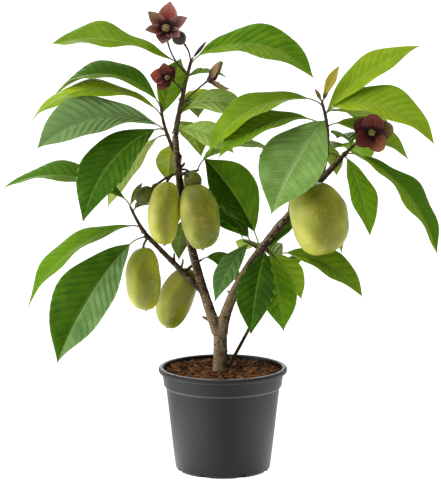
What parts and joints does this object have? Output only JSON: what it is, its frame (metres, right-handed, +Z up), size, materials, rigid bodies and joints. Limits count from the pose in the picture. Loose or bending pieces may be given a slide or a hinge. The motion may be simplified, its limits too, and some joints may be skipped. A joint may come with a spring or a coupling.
{
  "type": "potted pawpaw sapling",
  "caption": "Young pawpaw tree in a round nursery pot: forked trunk, boughs with large drooping leaves, hanging green fruit and dark red flowers.",
  "frame": {"origin": "centre of the pot's flat underside, on the surface it stands on", "axes": "+Z up the pot's axis, +X to the viewer's right, +Y away from the viewer"},
  "size_m": [0.7001, 0.3558, 0.752],
  "materials": {
    "pot": "satin moulded",
    "soil": "loose crumbs",
    "bark": "matt bark",
    "foliage": "satin leaf",
    "fruit": "matt skin"
  },
  "bodies": {
    "root": {"pot": "pot", "soil": "soil", "trunk": "bark", "left_bough": "bark", "right_bough": "bark", "lower_left_bough": "bark", "sucker": "bark", "crown_spray": "foliage", "upper_left_spray": "foliage", "fruit_cluster": "fruit", "centre_spray": "foliage", "lower_left_spray": "foliage", "left_fruit_spur": "fruit", "low_centre_spray": "fruit", "right_centre_spray": "foliage", "inner_right_spray": "foliage", "right_fruit_spur": "fruit", "upright_spray": "foliage", "right_tip_spray": "foliage", "sucker_spray": "foliage", "back_left_spray": "foliage", "back_right_spray": "foliage"}
  },
  "joints": []
}
